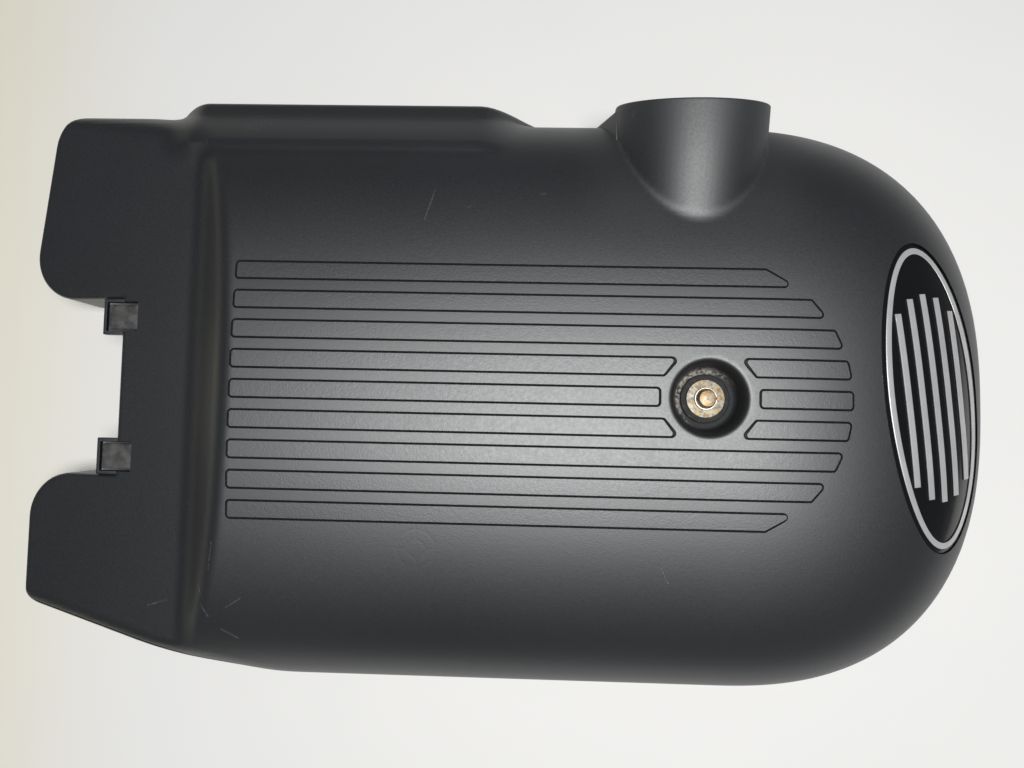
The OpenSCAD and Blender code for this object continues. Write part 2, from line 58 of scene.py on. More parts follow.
lower_back, lower_cut, lower_slope = 0.004, 0.045, tan(radians(14))
ledge_w, ledge_deep, ledge_h, ledge_fall = 0.008, 0.036, 0.044, tan(radians(25))
ledge_front, ledge_rear, ledge_lead, ledge_run = 0.084, 0.396, 0.066, 0.056
ledge_drop, ledge_round = 0.040, 0.016
lobe_out, lobe_start, lobe_run = 0.0032, 0.33, 0.06
duct_r, duct_x, duct_rise, duct_h, duct_reach = 0.051, -0.005, radians(16), 0.104, 0.184
duct_foot_y = duct_reach + duct_r * sin(duct_rise)
duct_axis_z = duct_h - duct_r * cos(duct_rise)
duct_round, duct_leg_slope, mouth_band = 0.0025, 60, 0.004
edge_r, slant_r, slant_start, slant_run = 0.0025, 0.012, 0.26, 0.05
over, hair = 0.01, 0.0001
outline_rings = (hair, 0.0003, 0.0008, 0.0016, 0.003, 0.005, 0.008, 0.012)
skin_pitch, inner_pitch, hump_pitch = ((0.004, 0.009, 0.002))


def fade(v):
    t = np.clip(v, 0, 1)
    return t * t * (3 - 2 * t)


def blend_max(a, b, r):
    h = np.maximum(r - np.abs(a - b), 0) / r
    return np.maximum(a, b) + h * h * r / 4


def blend_min(a, b, r):
    return -blend_max(-a, -b, r)


def ledge_share(x):
    return fade((-ledge_front - x) / ledge_lead) * fade((x + ledge_rear) / ledge_run)


def lobe_flare(x):
    return lobe_out * fade((-lobe_start - x) / lobe_run)


def slant_depth(x, y):
    """Distance inwards from the slanted side of the lower lobe."""
    end_x, end_y = lower_back - rear_len, lower_cut - half_w
    return ((x - end_x) * lower_slope + (y - end_y)) / hypot(lower_slope, 1)


def skin(x, y, hump=False):
    """Height of the shell's outer face over a place in plan, both from the bolt's axis."""
    aside = np.abs(y) - np.where(y > 0, lobe_flare(x), 0) * (np.abs(y) / half_w)
    spread = (np.maximum(x - nose_x, 0) / nose_len) ** nose_pow + (aside / half_w) ** nose_pow
    spread = spread ** (shoulder_pow / nose_pow)
    dome = skirt_h + (crest_h - skirt_h) * np.maximum(1 - spread, 0) ** (1 / shoulder_pow)
    shelf = shelf_h + (x + step_x) * shelf_fall
    step = shelf_h + (x + step_x) * step_slope
    z = blend_min(dome, blend_max(shelf, step, step_round), step_round)
    share = ledge_share(x)
    deep = half_w + ledge_w * share - y
    ledge = ledge_h + np.minimum(deep, ledge_deep) * ledge_fall - np.maximum(deep - ledge_deep, 0)
    z = np.where(y > 0, blend_max(z, ledge - (1 - share) * ledge_drop, ledge_round), z)
    if hump:
        across = np.abs(x - duct_x)
        arch = np.sqrt(np.maximum(duct_r ** 2 - across ** 2, 0))
        arch = arch - duct_leg_slope * np.maximum(across - duct_r, 0)
        arch = duct_axis_z + (arch - (duct_foot_y - y) * sin(duct_rise)) / cos(duct_rise)
        z = np.where(y > duct_r, blend_max(z, arch, duct_round), z)
    return z


def corner(a, p, b, r, steps=None):
    """The arc of radius r that rounds the corner p between a and b."""
    a, p, b = Vector(a), Vector(p), Vector(b)
    u, v = (a - p).normalized(), (b - p).normalized()
    half = u.angle(v) / 2
    mid = p + (u + v).normalized() * r / sin(half)
    start, end = p + u * r / tan(half) - mid, p + v * r / tan(half) - mid
    angle = -start.angle_signed(end)
    steps = steps or ceil(abs(angle) / radians(6))
    return [mid + Matrix.Rotation(angle * k / steps, 2) @ start for k in range(steps + 1)]


def run(a, b, step):
    """Points from a up to, but without, b, no more than a step apart."""
    a, b = Vector(a), Vector(b)
    count = max(1, ceil((b - a).length / step))
    return [a.lerp(b, k / count) for k in range(count)]


def shell_outline():
    """The rim in plan, anticlockwise from the front end of the lower lobe's slanted side."""
    upper_slope = lobe_slant / (half_w - notch_high)
    slant_end = (lower_back - rear_len + lower_cut / lower_slope, -half_w)
    lower_end = (lower_back - rear_len, lower_cut - half_w)
    lower_in = (lower_back - rear_len, notch_low)
    upper_in = (-rear_len - upper_slope * lobe_inner_r, notch_high)
    upper_y = half_w + lobe_out
    upper_end = (-rear_len + upper_slope * (upper_y - notch_high - lobe_inner_r), upper_y)
    path = run(slant_end, (nose_x, -half_w), 0.01)
    nose_steps, ledge_steps = 120, 73
    for k in range(nose_steps):
        t = pi * (k / nose_steps - 0.5)
        path.append(Vector((nose_x + nose_len * abs(cos(t)) ** (2 / nose_pow),
                            half_w * np.sign(t) * abs(sin(t)) ** (2 / nose_pow))))
    path += run((nose_x, half_w), (-ledge_front, half_w), 0.008)
    for k in range(ledge_steps):
        x = -ledge_front - (ledge_rear - ledge_front) * k / ledge_steps
        out = max(ledge_w * float(ledge_share(x)), float(lobe_flare(x)))
        path.append(Vector((x, half_w + out)))
    path += corner((-ledge_rear, upper_y), upper_end, upper_in, upper_corner_r)
    path += corner(upper_end, upper_in, (-notch_x, notch_high), lobe_inner_r)
    path += run((-notch_x, notch_high), (-notch_x, notch_low), 0.006)
    path += [Vector((-notch_x, notch_low))]
    path += corner((-notch_x, notch_low), lower_in, lower_end, lobe_inner_r)
    path += corner(lower_in, lower_end, slant_end, lower_corner_r)
    past_corner = 3
    return path + run(lower_end, slant_end, 0.006)[past_corner:]


rim = shell_outline()


def rim_distance(x, y):
    """Distance in plan from each place to the nearest stretch of the rim."""
    a = np.array([tuple(p) for p in rim])
    along = np.roll(a, -1, axis=0) - a
    nearest = np.full(len(x), 1.0)
    for start, step in zip(a, along):
        t = np.clip(((x - start[0]) * step[0] + (y - start[1]) * step[1]) / (step @ step), 0, 1)
        nearest = np.minimum(nearest, np.hypot(x - start[0] - t * step[0], y - start[1] - t * step[1]))
    return nearest


def roll(depth, r):
    """How far a rounded edge of radius r lies below the plain face at a depth in from it."""
    short = np.clip(r - depth, 0, r)
    return r - np.sqrt(r * r - short * short)


def ring_inwards(bm, face, distance):
    """Insets one flat face, which stays as the middle of its new ring."""
    bm.normal_update()
    bmesh.ops.inset_region(bm, faces=[face], thickness=distance, use_even_offset=True, use_boundary=True)


def cut_rows(bm, axis, stops, keep=lambda face: True):
    """Cuts the faces that keep allows along straight lines across the plan."""
    normal = Vector((1, 0, 0)) if axis == 0 else Vector((0, 1, 0))
    for stop in stops:
        faces = [f for f in bm.faces if keep(f)]
        edges = {e for f in faces for e in f.edges}
        verts = {v for f in faces for v in f.verts}
        bmesh.ops.bisect_plane(bm, geom=[*verts, *edges, *faces], dist=1e-6,
                               plane_co=normal * stop, plane_no=normal)


def stand_on_floor(bm, floor):
    """Closes an open sheet into a solid with upright sides down to the floor."""
    open_edges = [e for e in bm.edges if e.is_boundary]
    made = bmesh.ops.extrude_edge_only(bm, edges=open_edges)["geom"]
    for v in made:
        if isinstance(v, bmesh.types.BMVert):
            v.co.z = floor
    bmesh.ops.holes_fill(bm, edges=[e for e in bm.edges if e.is_boundary], sides=0)
    bmesh.ops.recalc_face_normals(bm, faces=bm.faces)


def lift(verts, height):
    """Moves every vertex to the height that the function gives for its place in plan."""
    verts = list(verts)
    x, y = np.array([(v.co.x, v.co.y) for v in verts]).T
    for v, z in zip(verts, height(x, y)):
        v.co.z = z


def place(bm, name):
    """Makes an object of a mesh drawn from the bolt's axis, and moves it there."""
    bmesh.ops.translate(bm, verts=bm.verts, vec=(bolt_x, bolt_y, 0))
    mesh = bpy.data.meshes.new(name)
    bm.to_mesh(mesh)
    bm.free()
    piece = bpy.data.objects.new(name, mesh)
    bpy.context.scene.collection.objects.link(piece)
    return piece


def join(piece, cutter, operation):
    """Joins a solid to the piece, or cuts it out, and removes that solid."""
    modifier = piece.modifiers.new(operation.lower(), "BOOLEAN")
    modifier.solver, modifier.operation, modifier.object = "MANIFOLD", operation, cutter
    bpy.context.view_layer.update()
    graph = bpy.context.evaluated_depsgraph_get()
    result = bpy.data.meshes.new_from_object(piece.evaluated_get(graph))
    piece.modifiers.clear()
    old = piece.data
    piece.data = result
    bpy.data.meshes.remove(old)
    bpy.data.objects.remove(cutter)
    return piece


def outer_height(x, y):
    """Height of the outer face with its hump, and with its edges rounded."""
    z = skin(x, y, hump=True) - roll(rim_distance(x, y), edge_r)
    lobe = fade((-slant_start - x) / slant_run)
    return z - lobe * roll(np.maximum(slant_depth(x, y), 0), slant_r)


def plan_of_rim(inset, rings, pitch):
    """The rim's face in plan, inset, ringed along its edge and cut into a grid."""
    bm = bmesh.new()
    middle = bm.faces.new([bm.verts.new((p.x, p.y, 0)) for p in rim])
    if inset:
        ring_inwards(bm, middle, inset)
        bmesh.ops.delete(bm, geom=[f for f in bm.faces if f is not middle], context="FACES")
    for last, ring in zip((0, *rings), rings):
        ring_inwards(bm, middle, ring - last)
    cut_rows(bm, 0, np.arange(-rear_len + pitch / 2, nose_x + nose_len, pitch))
    cut_rows(bm, 1, np.arange(-half_w + pitch / 2, half_w + ledge_w, pitch))
    return bm


# Finer rows run over the hump, most of all where its sides turn down, and over the step.
hump_half_w, hump_start, step_rear, step_front = 0.062, 0.098, -0.35, -0.28


def near_hump(face):
    centre = face.calc_center_median()
    return abs(centre.x - duct_x) < hump_half_w and centre.y > hump_start


def near_step(face):
    return step_rear < face.calc_center_median().x < step_front


outer = plan_of_rim(0, outline_rings, skin_pitch)
hump_sides = (0.0475, 0.0487, 0.0496, 0.0502, 0.0506, 0.0509, 0.0512, 0.0516)
hump_stops = [*np.arange(-0.046, 0.048, hump_pitch), *(side * d for side in (-1, 1) for d in hump_sides)]
cut_rows(outer, 0, [duct_x + s for s in hump_stops], near_hump)
cut_rows(outer, 1, np.arange(hump_start + 0.002, half_w, hump_pitch), near_hump)
cut_rows(outer, 0, np.arange(step_rear + 0.002, step_front, hump_pitch), near_step)
lift(outer.verts, outer_height)
stand_on_floor(outer, 0)
cover = place(outer, "shell")

# The hump's mouth: its last stretch is an arch of its own, square to the duct's slope.
mouth_edge_r, leg_l = 0.0012, 0.045
duct_turn = Matrix.Rotation(duct_rise, 3, "X")


def thicken(bm, faces):
    """Extrudes faces into a solid, and gives the vertices of the new side, which haven't moved yet."""
    made = bmesh.ops.extrude_face_region(bm, geom=faces)["geom"]
    return [v for v in made if isinstance(v, bmesh.types.BMVert)]


def prism(path, direction):
    """A solid swept from a flat closed path along one straight direction."""
    bm = bmesh.new()
    face = bm.faces.new([bm.verts.new(p) for p in path])
    bmesh.ops.translate(bm, verts=thicken(bm, [face]), vec=direction)
    bmesh.ops.recalc_face_normals(bm, faces=bm.faces)
    return bm


def in_duct(bm, shift=0):
    """Turns a solid drawn about the duct's axis into its place, shifted along that axis."""
    at = Vector((duct_x, duct_foot_y, duct_axis_z)) + duct_turn @ Vector((0, shift, 0))
    bmesh.ops.transform(bm, matrix=Matrix.Translation(at) @ duct_turn.to_4x4(), verts=bm.verts)
    return bm


def arch_solid(r, leg, length):
    """A solid arch with straight legs, drawn about the duct's axis from its mouth inwards."""
    steps = 64
    path = [(r * cos(pi * k / steps), 0, r * sin(pi * k / steps)) for k in range(steps + 1)]
    return prism([(r, 0, -leg), *path, (-r, 0, -leg)], (0, -length, 0))


aside, tall, reach = duct_r + 0.0014, 0.2, 0.06
beyond = prism([(aside, -mouth_band, -tall), (aside, -mouth_band, tall), (-aside, -mouth_band, tall),
                (-aside, -mouth_band, -tall)], (0, reach, 0))
join(cover, place(in_duct(beyond), "beyond"), "DIFFERENCE")
band = arch_solid(duct_r, leg_l, mouth_band + hair)
front_edges = [e for e in band.edges if all(v.co.y > -1e-6 and v.co.z > over - leg_l for v in e.verts)]
bmesh.ops.bevel(band, geom=front_edges, offset=mouth_edge_r, segments=4, profile=0.5, affect="EDGES",
                material=-1)
foot_z, foot_rise, far_y, foot_half_w = duct_axis_z - 0.004, 0.016, 0.215, 0.07
foot_profile = ((half_w, -over), (far_y, -over), (far_y, foot_z), (duct_foot_y, foot_z),
                (half_w, foot_z - foot_rise))
foot_cut = prism([(duct_x - foot_half_w, y, z) for y, z in foot_profile], (2 * foot_half_w, 0, 0))
band = join(place(in_duct(band), "band"), place(foot_cut, "foot_cut"), "DIFFERENCE")
join(cover, band, "UNION")

# The gusset that leans from the hump's rear side down to the body's side.
gusset_x, gusset_w, gusset_h, gusset_deep = duct_x - duct_r, 0.017, 0.058, 0.040
gusset_slope = (gusset_h - skirt_h) / gusset_w
gusset_front, gusset_edge_r = gusset_x + wall, 0.002
gusset_profile = ((gusset_x - gusset_w, 0), (gusset_front, 0), (gusset_front, gusset_h), (gusset_x, gusset_h),
                  (gusset_x - gusset_w, skirt_h))
gusset = prism([(x, half_w, z) for x, z in gusset_profile], (0, -gusset_deep, 0))
slope_edges = [e for e in gusset.edges if all(v.co.z > skirt_h - 1e-6 and v.co.y > half_w - 1e-6
                                              and v.co.x < gusset_x + 1e-6 for v in e.verts)]
bmesh.ops.bevel(gusset, geom=slope_edges, offset=gusset_edge_r, segments=4, profile=0.5, affect="EDGES",
                material=-1)
join(cover, place(gusset, "gusset"), "UNION")

# The inside: the same face, one wall's thickness further in and lower.
inner = plan_of_rim(wall, outline_rings[2:], inner_pitch)
lift(inner.verts, lambda x, y: skin(x, y) - wall)
stand_on_floor(inner, -wall)
join(cover, place(inner, "inside"), "DIFFERENCE")


def on_badge(u, v):
    """A place on the badge from its middle: u across its width, v along its length."""
    return (badge_x + u * cos(badge_lean) - v * sin(badge_lean),
            badge_y + u * sin(badge_lean) + v * cos(badge_lean))


def oval_slab(inset, low, high, steps):
    """A slab of the badge's oval that follows the shell's outer face."""
    bm = bmesh.new()
    bmesh.ops.create_grid(bm, x_segments=steps, y_segments=2 * steps, size=1)
    for v in bm.verts:
        a, b = v.co.x, v.co.y
        v.co.x, v.co.y = on_badge((badge_half_w - inset) * a * sqrt(1 - b * b / 2),
                                  (badge_half_l - inset) * b * sqrt(1 - a * a / 2))
    foot, top = bm.verts[:], thicken(bm, bm.faces[:])
    lift(foot, lambda x, y: skin(x, y) + low)
    lift(top, lambda x, y: skin(x, y) + high)
    bmesh.ops.recalc_face_normals(bm, faces=bm.faces)
    return bm


def block(low, high, round_r=0):
    """A box between two corners, with its edges rounded."""
    bm = bmesh.new()
    bmesh.ops.create_cube(bm, size=1)
    for v in bm.verts:
        v.co = [l + (h - l) * (c + 0.5) for l, h, c in zip(low, high, v.co)]
    if round_r:
        bmesh.ops.bevel(bm, geom=bm.edges[:], offset=round_r, segments=3, profile=0.5, affect="EDGES",
                        material=-1)
    return bm


def turned(profile, steps=96):
    """A solid turned about the bolt's axis from a profile of radius and height."""
    bm = bmesh.new()
    line = [bm.verts.new((r, 0, z)) for r, z in profile]
    edges = [bm.edges.new(pair) for pair in zip(line, line[1:] + line[:1])]
    bmesh.ops.spin(bm, geom=edges, angle=2 * pi, steps=steps, axis=(0, 0, 1), cent=(0, 0, 0), use_merge=True)
    bmesh.ops.remove_doubles(bm, verts=bm.verts, dist=1e-6)
    bmesh.ops.dissolve_degenerate(bm, edges=bm.edges, dist=1e-7)
    bmesh.ops.delete(bm, geom=[e for e in bm.edges if e.is_wire], context="EDGES")
    bmesh.ops.recalc_face_normals(bm, faces=bm.faces)
    return bm


# What hangs under the crown: the well's wall, three ribbed posts and two ribs, then the pockets.
badge_half_l, badge_half_w, badge_x, badge_y, badge_lean = 0.100, 0.037, 0.145, 0.004, radians(7)
badge_recess = 0.0024
well_rim_r, well_floor_r, well_depth, well_lip, well_hole_r = 0.0258, 0.0186, 0.017, 0.004, 0.012
floor_z = crest_h - well_depth
post_r, post_bore_r, post_l, rib_t, rib_h, rib_reach = 0.013, 0.0045, 0.042, 0.002, 0.016, 0.076
bore_mid_r, post_mid_r = post_bore_r + rib_t / 2, post_r - rib_t / 2
post_places = ((-0.179, 0.097), (-0.179, -0.097), (-0.110, -0.016))
pocket_w, pocket_l, pocket_out, pocket_d, pocket_wall = 0.025, 0.028, 0.014, 0.005, 0.0022
pocket_x = -notch_x - pocket_out
pocket_z = shelf_h + (pocket_x + pocket_l / 2 + step_x) * shelf_fall - pocket_d
pocket_lows = (notch_high - pocket_w, notch_low)


def under_crown(bm):
    """Raises the top of a hanging solid to the middle of the crown's wall."""
    lift([v for v in bm.verts if v.co.z > crest_h - wall], lambda x, y: skin(x, y) - wall / 2)
    return bm


well_wall = turned([(0, floor_z - wall), (well_floor_r + wall, floor_z - wall),
                    (well_rim_r - well_lip + wall, crest_h - well_lip),
                    (well_rim_r + wall / 2, crest_h - wall / 2), (0, crest_h - wall / 2)])
join(cover, place(well_wall, "well_wall"), "UNION")
post_foot = crest_h - post_l
for x, y in post_places:
    parts = [turned([(r, post_foot), (r + rib_t, post_foot), (r + rib_t, crest_h), (r, crest_h)], 48)
             for r in (post_bore_r, post_r - rib_t)]
    for near, far in ((-post_mid_r, -bore_mid_r), (bore_mid_r, post_mid_r)):
        parts.append(block((near, -rib_t / 2, post_foot + rib_t), (far, rib_t / 2, crest_h)))
        parts.append(block((-rib_t / 2, near, post_foot + rib_t), (rib_t / 2, far, crest_h)))
    for part in parts:
        bmesh.ops.translate(part, verts=part.verts, vec=(x, y, 0))
        join(cover, place(under_crown(part), "post"), "UNION")
for low in (well_floor_r, -rib_reach):
    rib = block((-rib_t / 2, low, crest_h - rib_h - wall),
                (rib_t / 2, low + rib_reach - well_floor_r, crest_h))
    across = [e for e in rib.edges if abs(e.verts[0].co.y - e.verts[1].co.y) > over]
    bmesh.ops.subdivide_edges(rib, edges=across, cuts=9, use_grid_fill=True)
    join(cover, place(under_crown(rib), "rib"), "UNION")
for low in pocket_lows:
    pocket = block((pocket_x, low, pocket_z - pocket_wall),
                   (pocket_x + pocket_l, low + pocket_w, pocket_z + pocket_d - wall / 2), 0.0006)
    join(cover, place(pocket, "pocket"), "UNION")
join(cover, place(oval_slab(-wall, -badge_recess - wall, -badge_recess, 20), "badge_backing"), "UNION")

# What is cut out: the duct's way, the gusset's hollow, the hoses' way, the well, the pockets and the
# badge's seat.
duct_way_l, duct_way_out = 0.15, 0.02
duct_way = arch_solid(duct_r - wall, 2 * crest_h, duct_way_l)
join(cover, place(in_duct(duct_way, duct_way_out), "duct_way"), "DIFFERENCE")
hollow_back, hollow_y = gusset_x - gusset_w + wall + 0.001, half_w - wall
hollow = prism([(hollow_back, hollow_y, -over), (gusset_x, hollow_y, -over),
                (gusset_x, hollow_y, skirt_h + gusset_slope * (gusset_x - hollow_back)),
                (hollow_back, hollow_y, skirt_h)], (0, -gusset_deep, 0))
join(cover, place(hollow, "gusset_hollow"), "DIFFERENCE")
hose_reach, hose_cover, hose_edge_r = 0.02, 0.009, 0.002
hoses = block((-notch_x - hose_reach, notch_low + pocket_w + wall, -over),
              (-notch_x + hose_reach, notch_high - pocket_w - wall,
               shelf_h + (step_x - notch_x) * shelf_fall - hose_cover), hose_edge_r)
join(cover, place(hoses, "hose_way"), "DIFFERENCE")
lip = [(well_rim_r - well_lip * cos(t), crest_h - well_lip + well_lip * sin(t))
       for t in np.linspace(0, pi / 2, 9)]
well = turned([(0, floor_z), (well_floor_r - 0.001, floor_z), (well_floor_r - 0.0003, floor_z + 0.0003),
               (well_floor_r, floor_z + 0.001), *lip, (well_rim_r, crest_h + 2 * over),
               (0, crest_h + 2 * over)])
x, y = np.array([(v.co.x, v.co.y) for v in well.verts]).T
for v, z in zip(well.verts, skin(x, y)):
    v.co.z += (z - crest_h) * (v.co.z - floor_z) / well_depth
join(cover, place(well, "well"), "DIFFERENCE")
hole = turned([(0, floor_z - 2 * over), (well_hole_r, floor_z - 2 * over), (well_hole_r, floor_z + over),
               (0, floor_z + over)], 64)
join(cover, place(hole, "well_hole"), "DIFFERENCE")
for low in pocket_lows:
    room = block((pocket_x + pocket_wall, low + pocket_wall, pocket_z),
                 (pocket_x + pocket_l - pocket_wall, low + pocket_w - pocket_wall, pocket_z + 2 * over),
                 0.0008)
    join(cover, place(room, "pocket_room"), "DIFFERENCE")
join(cover, place(oval_slab(0, -badge_recess, over, 28), "badge_seat"), "DIFFERENCE")

# The outlines of the bars: fine grooves whose front ends lie on one circle about the bolt.
bar_pitch, bar_w, bar_back, bar_end_r = 0.0188, 0.0112, 0.2975, 0.088
bar_clear_r, bar_corner_r, bar_steps, bars_each_side = 0.031, 0.0022, 60, 4
groove_w, groove_d, groove_over = 0.0015, 0.0013, hair


def on_circle(r, y):
    return sqrt(max(r * r - y * y, 0))


def bar_path(low, high, back, front, r):
    """A closed outline with four rounded corners; back and front give its ends at a place across."""
    ends = [(back(high), high), (back(low), low), (front(low), low), (front(high), high)]
    arcs = [corner(ends[k - 1], ends[k], ends[(k + 1) % 4], r, 6) for k in range(4)]
    path = []
    for arc, after in zip(arcs, arcs[1:] + arcs[:1]):
        path += arc + [arc[-1].lerp(after[0], t / bar_steps) for t in range(1, bar_steps)]
    return path


def bar_outlines(middle, grow):
    """Outlines of one bar, which the clear circle about the well may part in two."""
    low, high = middle - bar_w / 2 - grow, middle + bar_w / 2 + grow
    r = bar_corner_r + grow

    def back(y): return -bar_back - grow
    def front(y): return on_circle(bar_end_r + grow, y)
    def near(y): return on_circle(bar_clear_r - grow, y)
    def far(y): return -near(y)
    if min(abs(low), abs(high)) >= bar_clear_r:
        return [bar_path(low, high, back, front, r)]
    return [bar_path(low, high, back, far, r), bar_path(low, high, near, front, r)]


for k in range(-bars_each_side, bars_each_side + 1):
    for loops in zip(*(bar_outlines(k * bar_pitch, groove_w / 2 * side) for side in (1, 0, -1))):
        groove = bmesh.new()
        rows = [[groove.verts.new((p.x, p.y, 0)) for p in loop] for loop in loops]
        edges = [[groove.edges.new(pair) for pair in zip(row, row[1:] + row[:1])] for row in rows]
        for row, level in zip(rows, (groove_over, -groove_d, groove_over)):
            lift(row, lambda x, y: skin(x, y) + level)
        for one, other in zip(edges, edges[1:]):
            bmesh.ops.bridge_loops(groove, edges=[*one, *other])
        bmesh.ops.translate(groove, verts=thicken(groove, groove.faces[:]), vec=(0, 0, over))
        bmesh.ops.recalc_face_normals(groove, faces=groove.faces)
        join(cover, place(groove, "groove"), "DIFFERENCE")


class Wire:
    """One output in a material's nodes. Sums written with wires add Math nodes."""

    def __init__(self, tree, out):
        self.tree, self.out = tree, out

    def node(self, kind, settings, sockets, output=0):
        made = self.tree.nodes.new("ShaderNode" + kind)
        for key, value in settings.items():
            setattr(made, key, value)
        for key, value in sockets.items():
            if isinstance(value, Wire):
                self.tree.links.new(value.out, made.inputs[key])
            else:
                made.inputs[key].default_value = value
        return Wire(self.tree, made.outputs[output])

    def math(self, operation, *values):
        return self.node("Math", {"operation": operation}, dict(enumerate(values)))

    def vector(self, operation, *values, output=0):
        return self.node("VectorMath", {"operation": operation}, dict(enumerate(values)), output)

    def __add__(self, other): return self.math("ADD", self, other)
    def __radd__(self, other): return self.math("ADD", other, self)
    def __sub__(self, other): return self.math("SUBTRACT", self, other)
    def __rsub__(self, other): return self.math("SUBTRACT", other, self)
    def __mul__(self, other): return self.math("MULTIPLY", self, other)
    def __rmul__(self, other): return self.math("MULTIPLY", other, self)

    def size(self):
        return self.math("ABSOLUTE", self)

    def step(self, start, end):
        """0 up to start and 1 past end, smooth between them; the two may be either way round."""
        return self.node("MapRange", {"interpolation_type": "SMOOTHSTEP"},
                         {"Value": self, "From Min": start, "From Max": end})

    def noise(self, scale, detail=2.0, stretch=(1, 1, 1)):
        return self.node("TexNoise", {}, {"Vector": self.vector("MULTIPLY", self, stretch),
                                          "Scale": scale, "Detail": detail})

    def part(self, axis):
        """One coordinate of a vector."""
        return self.node("SeparateXYZ", {}, {"Vector": self}, axis)

    def mix(self, low, high):
        """The colour low where this wire is 0, and high where it is 1."""
        return self.node("Mix", {"data_type": "RGBA"}, {"Factor": self, 6: low, 7: high}, 2)


def grey(value, warm=0.0):
    """A colour of one brightness, a little warmer or, below zero, bluer."""
    return value * (1 + warm), value, value * (1 - warm), 1


def material(name, colour, roughness=0.5, metallic=0.0, bump=None, distance=0.001, **constants):
    """A material: a value is a number, a colour or a function that makes a wire from places on the part."""
    made = bpy.data.materials.new(name)
    made.use_nodes = True
    tree = made.node_tree
    shader = tree.nodes["Principled BSDF"]
    places = Wire(tree, tree.nodes.new("ShaderNodeTexCoord").outputs["Object"])
    values = {"Base Color": colour, "Roughness": roughness, "Metallic": metallic, **constants}
    for key, value in values.items():
        value = value(places) if callable(value) else value
        if isinstance(value, Wire):
            tree.links.new(value.out, shader.inputs[key])
        else:
            shader.inputs[key.replace("_", " ")].default_value = value
    if bump:
        raised = places.node("Bump", {}, {"Height": bump(places), "Distance": distance, "Strength": 1.0})
        tree.links.new(raised.out, shader.inputs["Normal"])
    return made


def from_bolt(places):
    """Places in plan from the bolt's axis."""
    moved = places.vector("SUBTRACT", places, (bolt_x, bolt_y, 0))
    return moved.vector("MULTIPLY", moved, (1, 1, 0))


def from_point(plan, x, y):
    return plan.vector("DISTANCE", plan, (x, y, 0), output=1)


def from_line(plan, start, end):
    """Distance in plan from a straight scratch between two points."""
    a, b = Vector((*start, 0)), Vector((*end, 0))
    along = b - a
    offset = plan.vector("SUBTRACT", plan, tuple(a))
    share = plan.vector("DOT_PRODUCT", offset, tuple(along / along.length_squared), output=1)
    share = share.node("Clamp", {}, {"Value": share})
    nearest = plan.node("CombineXYZ", {}, {"X": share * along.x, "Y": share * along.y})
    return plan.vector("DISTANCE", offset, nearest, output=1)


def most(wires):
    result = wires[0]
    for wire in wires[1:]:
        result = result.math("MAXIMUM", result, wire)
    return result


# Wear seen on the shell, in plan from the bolt's axis: pale scratches as lines, then dark rubs and pale
# scuffs as places with a radius. Dust lies in the well, round a dark spot.
scratches = (((-0.1744, 0.1307), (-0.1795, 0.1108)), ((-0.0280, -0.1031), (-0.0226, -0.1143)),
             ((-0.3077, -0.0966), (-0.3104, -0.1146)), ((-0.3193, -0.1243), (-0.3174, -0.1311)),
             ((-0.3618, -0.1444), (-0.3487, -0.1402)), ((-0.3170, -0.1382), (-0.3130, -0.1455)),
             ((-0.3005, -0.1388), (-0.2909, -0.1324)), ((-0.3059, -0.1545), (-0.2959, -0.1608)))
rubs = ((-0.3584, 0.1469, 0.0045), (-0.0491, 0.1415, 0.0035), (0.1337, -0.1019, 0.003))
scuffs = ((-0.301, 0.183, 0.014), (-0.2826, 0.0862, 0.002), (-0.0451, 0.1821, 0.006),
          (-0.1039, 0.1296, 0.003), (-0.1518, 0.1203, 0.003), (0.1565, -0.1393, 0.008),
          (0.2142, 0.0341, 0.005), (-0.3441, -0.0582, 0.0012))
scratch_w, dust_middle, dark_spot = 0.0006, (0.0035, -0.003), (-0.0148, -0.0118)
sink_w, web_sink_w, rib_sink_start, rib_sink_end = 0.0018, 0.0014, 0.030, 0.060


def scratched(plan):
    return most([from_line(plan, *line).step(scratch_w, scratch_w * 0.4) for line in scratches])


def in_spots(plan, spots, core):
    """1 within the core of each spot, which is a share of its radius, and 0 past its edge."""
    return most([from_point(plan, x, y).step(r, r * core) for x, y, r in spots])


def on_floor(places, rise):
    """1 on the well's floor, fading to 0 at a height above it."""
    near = from_point(from_bolt(places), 0, 0).step(0.0215, 0.0195)
    return near * places.part(2).step(floor_z + rise, floor_z + 0.001)


